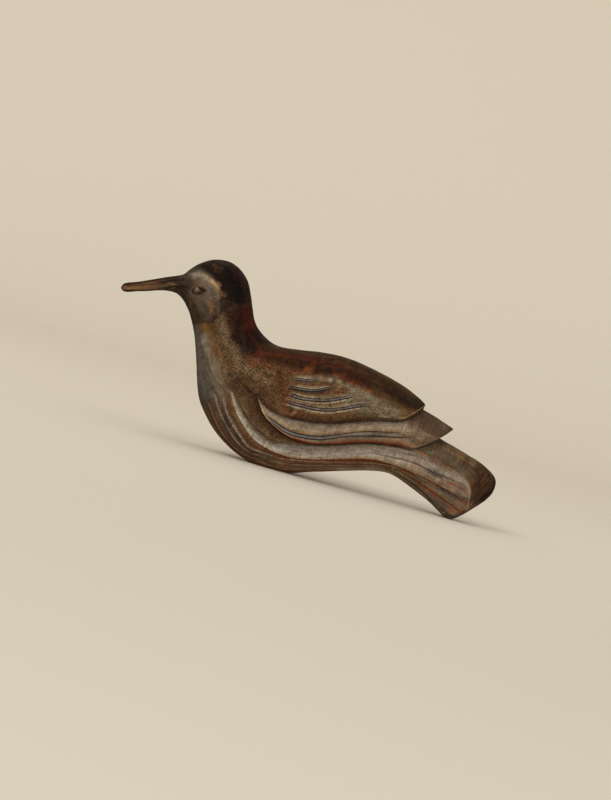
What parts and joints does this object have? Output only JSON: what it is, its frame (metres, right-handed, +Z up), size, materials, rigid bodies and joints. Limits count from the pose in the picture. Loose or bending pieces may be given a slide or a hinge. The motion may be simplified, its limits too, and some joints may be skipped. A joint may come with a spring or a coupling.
{
  "type": "shorebird decoy",
  "caption": "Carved and painted wooden shorebird decoy with stepped wing feathers, a long straight bill and a paddle tail.",
  "frame": {"origin": "middle of the footprint box, on the surface that the bird lies on", "axes": "+X from bill to tail, +Y to the bird's right side, +Z up from the surface that it lies on"},
  "size_m": [0.2982, 0.0712, 0.1346],
  "materials": {
    "painted_wood": "worn old oil paint on carved wood, low gloss"
  },
  "bodies": {
    "root": {"carved_bird": "painted_wood"}
  },
  "joints": []
}
